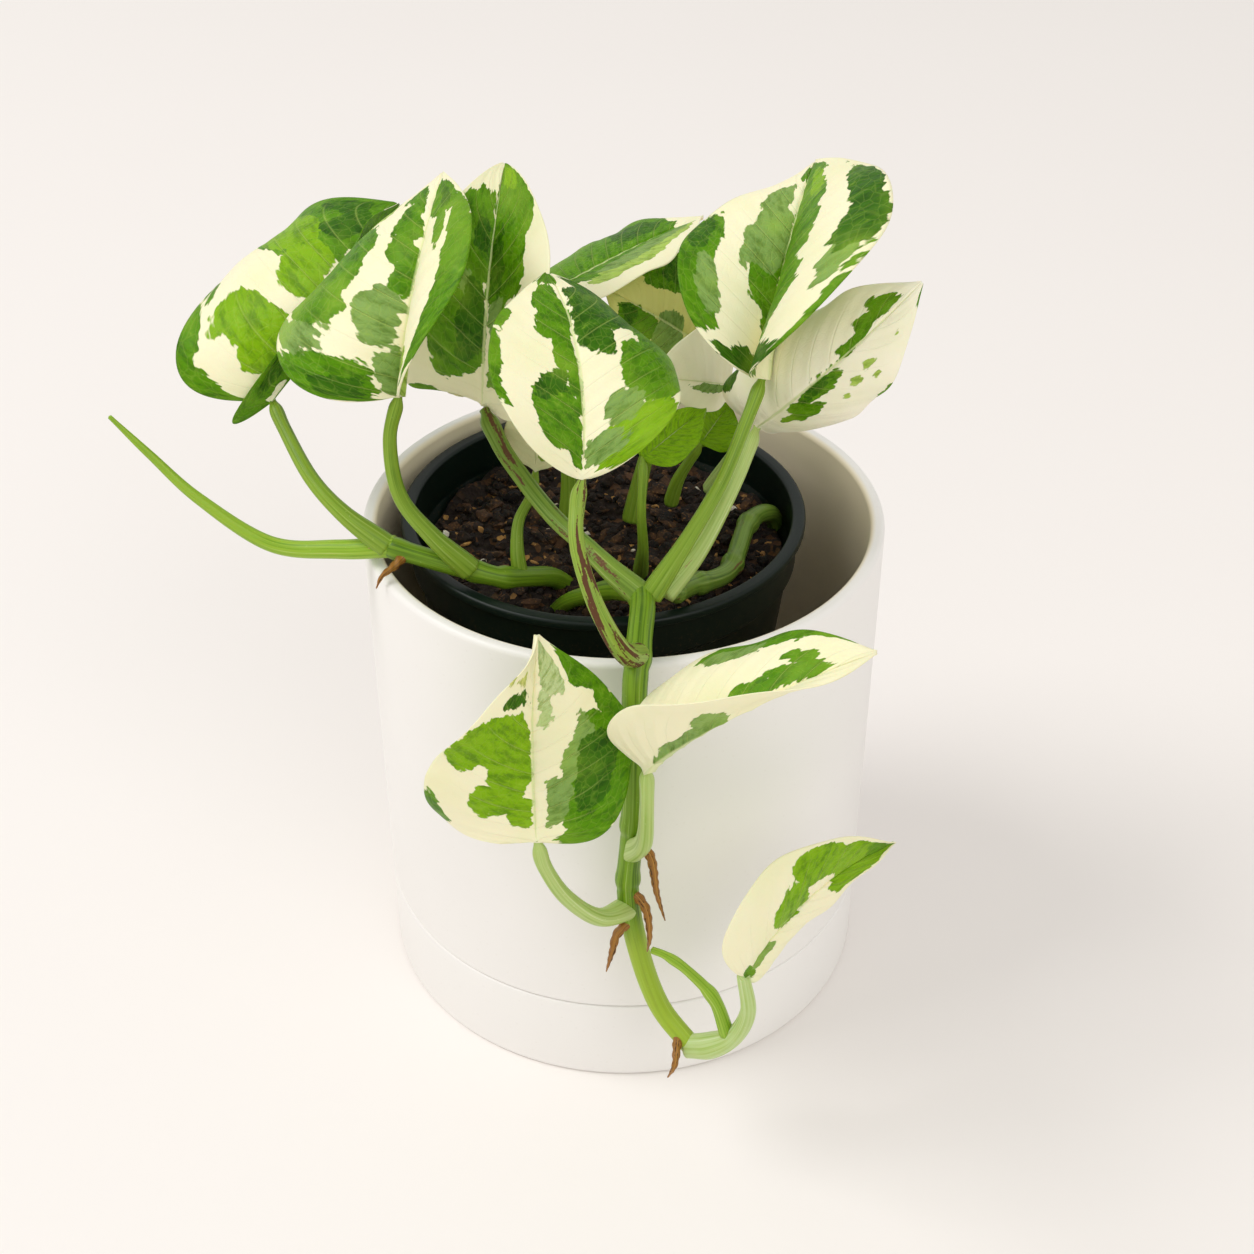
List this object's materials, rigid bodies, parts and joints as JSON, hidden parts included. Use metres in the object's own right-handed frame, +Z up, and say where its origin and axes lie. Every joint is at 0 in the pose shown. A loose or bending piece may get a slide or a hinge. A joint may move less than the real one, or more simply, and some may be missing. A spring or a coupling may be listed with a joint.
{
  "type": "potted pothos plant",
  "caption": "Cream and green variegated pothos with trailing vines, in a dark nursery pot set inside a straight white cylinder planter on a matching saucer.",
  "frame": {"origin": "middle of the saucer's underside, on the planter's axis", "axes": "+Z up along the planter's axis; -Y is the front, where the long vine hangs; +X is the plant's right side as seen from the front"},
  "size_m": [0.182, 0.1722, 0.2205],
  "materials": {
    "white_glaze": "satin",
    "pot_green": "matte with a slight sheen",
    "soil": "rough, crumbly",
    "leaf": "smooth, waxy",
    "stem": "smooth, waxy",
    "root": "dry, matte"
  },
  "bodies": {
    "root": {"saucer": "white_glaze", "planter": "white_glaze", "nursery_pot": "pot_green", "soil": "soil", "front_vine": "stem", "front_vine_end": "stem", "left_vine": "stem", "soil_vine": "stem", "new_leaf": "stem", "young_shoot": "stem", "leaf_front": "leaf", "leaf_mid_left": "leaf", "leaf_far_left": "leaf", "leaf_tall": "leaf", "leaf_right_top": "leaf", "leaf_right_low": "leaf", "leaf_pale_left": "leaf", "leaf_back_top": "leaf", "leaf_back_mid": "leaf", "leaf_back_right": "leaf", "leaf_under": "leaf", "leaf_back_small": "leaf", "leaf_low_left": "leaf", "leaf_low_right": "leaf", "leaf_low_tip": "leaf", "petiole_front": "stem", "petiole_mid_left": "stem", "petiole_far_left": "stem", "petiole_tall": "stem", "petiole_right_top": "stem", "petiole_right_low": "stem", "petiole_pale_left": "stem", "petiole_back_top": "stem", "petiole_back_mid": "stem", "petiole_back_right": "stem", "petiole_under": "stem", "petiole_back_small": "stem", "petiole_low_left": "stem", "petiole_low_right": "stem", "root_long": "root", "root_middle": "root", "root_left": "root", "root_tip": "root", "root_side": "root"}
  },
  "joints": []
}
